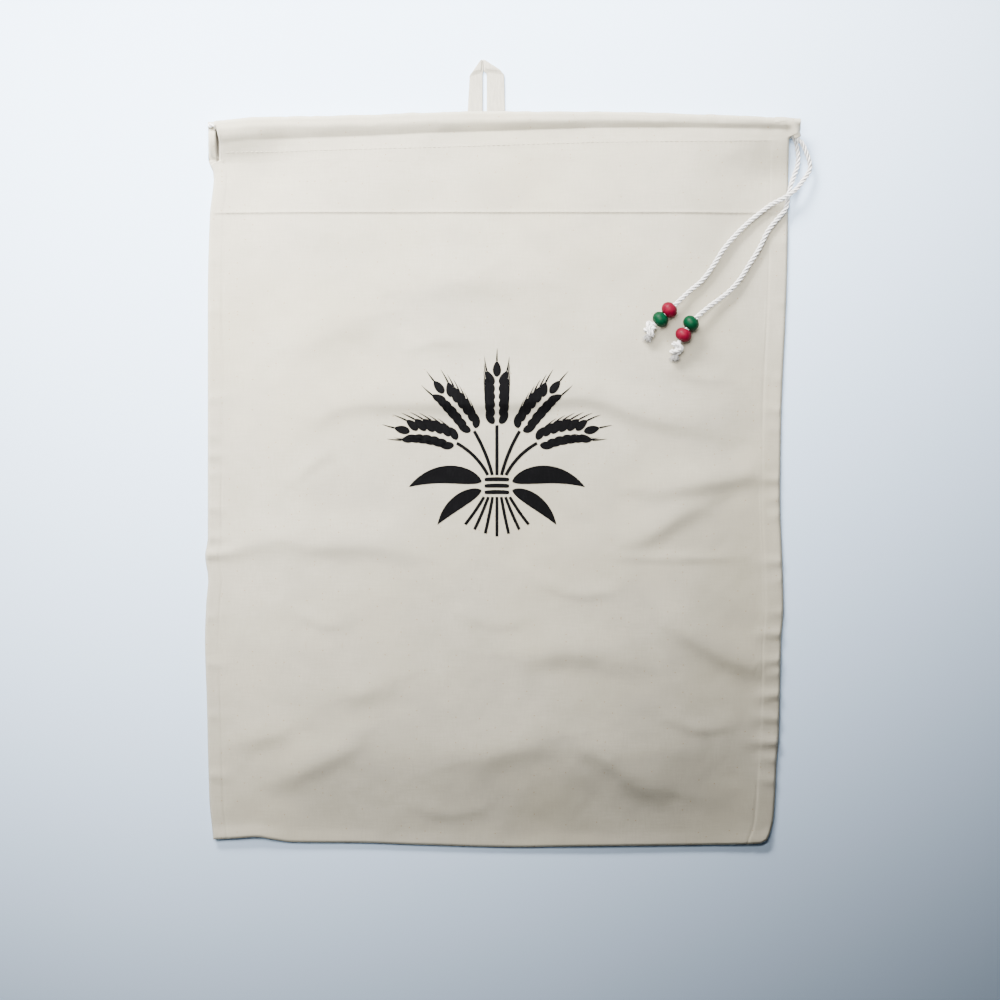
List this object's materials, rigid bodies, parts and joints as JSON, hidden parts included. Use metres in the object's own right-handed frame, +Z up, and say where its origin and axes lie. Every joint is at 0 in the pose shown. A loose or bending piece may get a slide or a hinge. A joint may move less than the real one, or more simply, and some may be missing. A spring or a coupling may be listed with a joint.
{
  "type": "drawstring bread bag",
  "caption": "Flat drawstring cloth bag with a corded casing at its mouth, two beaded cord ends and a tape loop to hang it by.",
  "frame": {"origin": "middle of the bag's outer box with its loop, on the surface that the bag lies on", "axes": "+X towards the edge where the cord comes out, +Y towards the mouth, +Z up from the surface"},
  "size_m": [0.3707, 0.4803, 0.0218],
  "materials": {
    "cotton_cloth": "matte",
    "cotton_cord": "matte",
    "red_bead": "gloss",
    "green_bead": "gloss"
  },
  "bodies": {
    "root": {"bag_body": "cotton_cloth", "hanging_loop": "cotton_cloth", "drawcord_held": "cotton_cord", "cord_tail_upper": "cotton_cord", "cord_tail_lower": "cotton_cord", "bead_red_upper": "red_bead", "bead_red_lower": "red_bead", "bead_green_upper": "green_bead", "bead_green_lower": "green_bead", "knot_upper": "cotton_cord", "knot_lower": "cotton_cord"}
  },
  "joints": []
}
